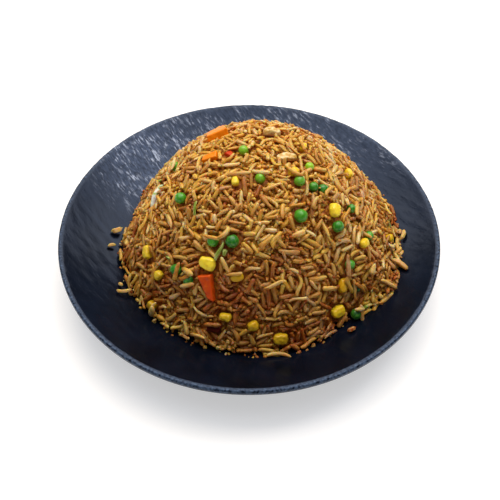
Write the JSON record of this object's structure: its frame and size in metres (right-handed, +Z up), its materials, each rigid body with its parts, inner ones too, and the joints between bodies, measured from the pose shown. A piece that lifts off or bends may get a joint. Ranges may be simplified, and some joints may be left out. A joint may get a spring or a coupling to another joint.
{
  "type": "fried rice plate",
  "caption": "Round heap of soy-browned fried rice with green peas, sweetcorn and diced carrot, served on a black slate-look coupe plate.",
  "frame": {"origin": "on the table, under the middle of the plate's foot ring", "axes": "+Z up, +Y away from the diner, +X to the diner's right"},
  "size_m": [0.24, 0.24, 0.0959],
  "materials": {
    "plate": "black melamine moulded with a slate-like face, satin",
    "rice": "fried long grain rice, browned with soy, thin coat of oil",
    "pea": "cooked green pea, smooth thin skin, slightly wet",
    "corn": "cooked sweetcorn kernel, smooth taut skin, slightly wet",
    "carrot": "diced cooked carrot, wet cut faces",
    "scallion": "thin strip of spring onion, white running to green",
    "egg": "thin flake of scrambled egg, matte"
  },
  "bodies": {
    "root": {"plate": "plate", "rice": "rice", "pea_1": "pea", "pea_2": "pea", "pea_3": "pea", "pea_4": "pea", "pea_5": "pea", "pea_6": "pea", "pea_7": "pea", "pea_8": "pea", "pea_9": "pea", "pea_10": "pea", "pea_11": "pea", "pea_12": "pea", "pea_13": "pea", "pea_14": "pea", "pea_15": "pea", "pea_16": "pea", "pea_17": "pea", "pea_18": "pea", "pea_19": "pea", "pea_20": "pea", "pea_21": "pea", "pea_22": "pea", "pea_23": "pea", "corn_1": "corn", "corn_2": "corn", "corn_3": "corn", "corn_4": "corn", "corn_5": "corn", "corn_6": "corn", "corn_7": "corn", "corn_8": "corn", "corn_9": "corn", "corn_10": "corn", "corn_11": "corn", "corn_12": "corn", "corn_13": "corn", "corn_14": "corn", "corn_15": "corn", "corn_16": "corn", "corn_17": "corn", "corn_18": "corn", "corn_19": "corn", "corn_20": "corn", "carrot_1": "carrot", "carrot_2": "carrot", "carrot_3": "carrot", "carrot_4": "carrot", "carrot_5": "carrot", "carrot_6": "carrot", "scallion_strip": "scallion", "egg_flake_1": "egg", "egg_flake_2": "egg", "stray_crumb": "rice", "stray_grain_1": "rice", "stray_grain_2": "rice", "stray_grain_3": "rice", "stray_grain_4": "rice", "stray_bit": "rice"}
  },
  "joints": []
}
